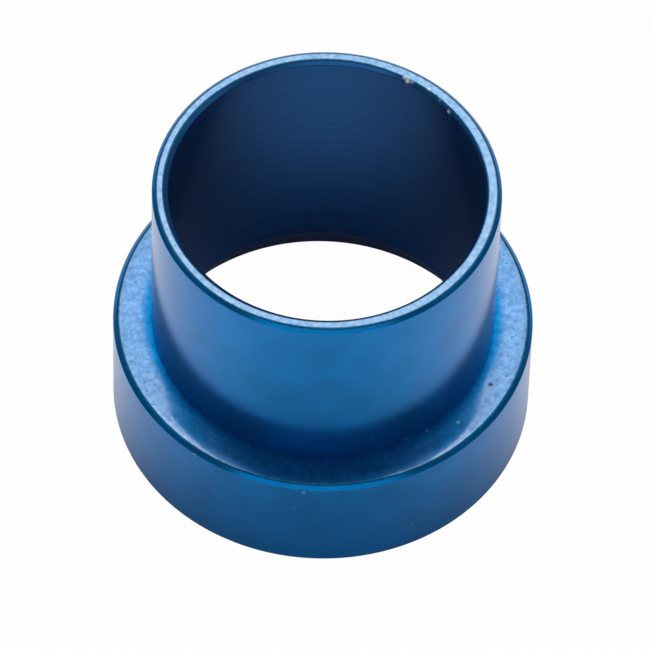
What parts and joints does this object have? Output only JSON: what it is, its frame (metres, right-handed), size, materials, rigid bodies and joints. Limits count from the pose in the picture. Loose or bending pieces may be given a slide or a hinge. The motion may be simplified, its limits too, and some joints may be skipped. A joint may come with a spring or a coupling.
{
  "type": "tube sleeve",
  "caption": "Turned tube sleeve with a thin-walled barrel, a wide collar, a through bore and a conical flare seat under the collar.",
  "frame": {"origin": "centre of the flat ring under the collar, on the turning axis", "axes": "+Z along the turning axis, from the collar up the barrel to the rim; X and Y are equal, because the sleeve is a solid of revolution"},
  "size_m": [0.0174, 0.0174, 0.0141],
  "materials": {
    "anodised_aluminium": "satin"
  },
  "bodies": {
    "root": {"sleeve": "anodised_aluminium"}
  },
  "joints": []
}
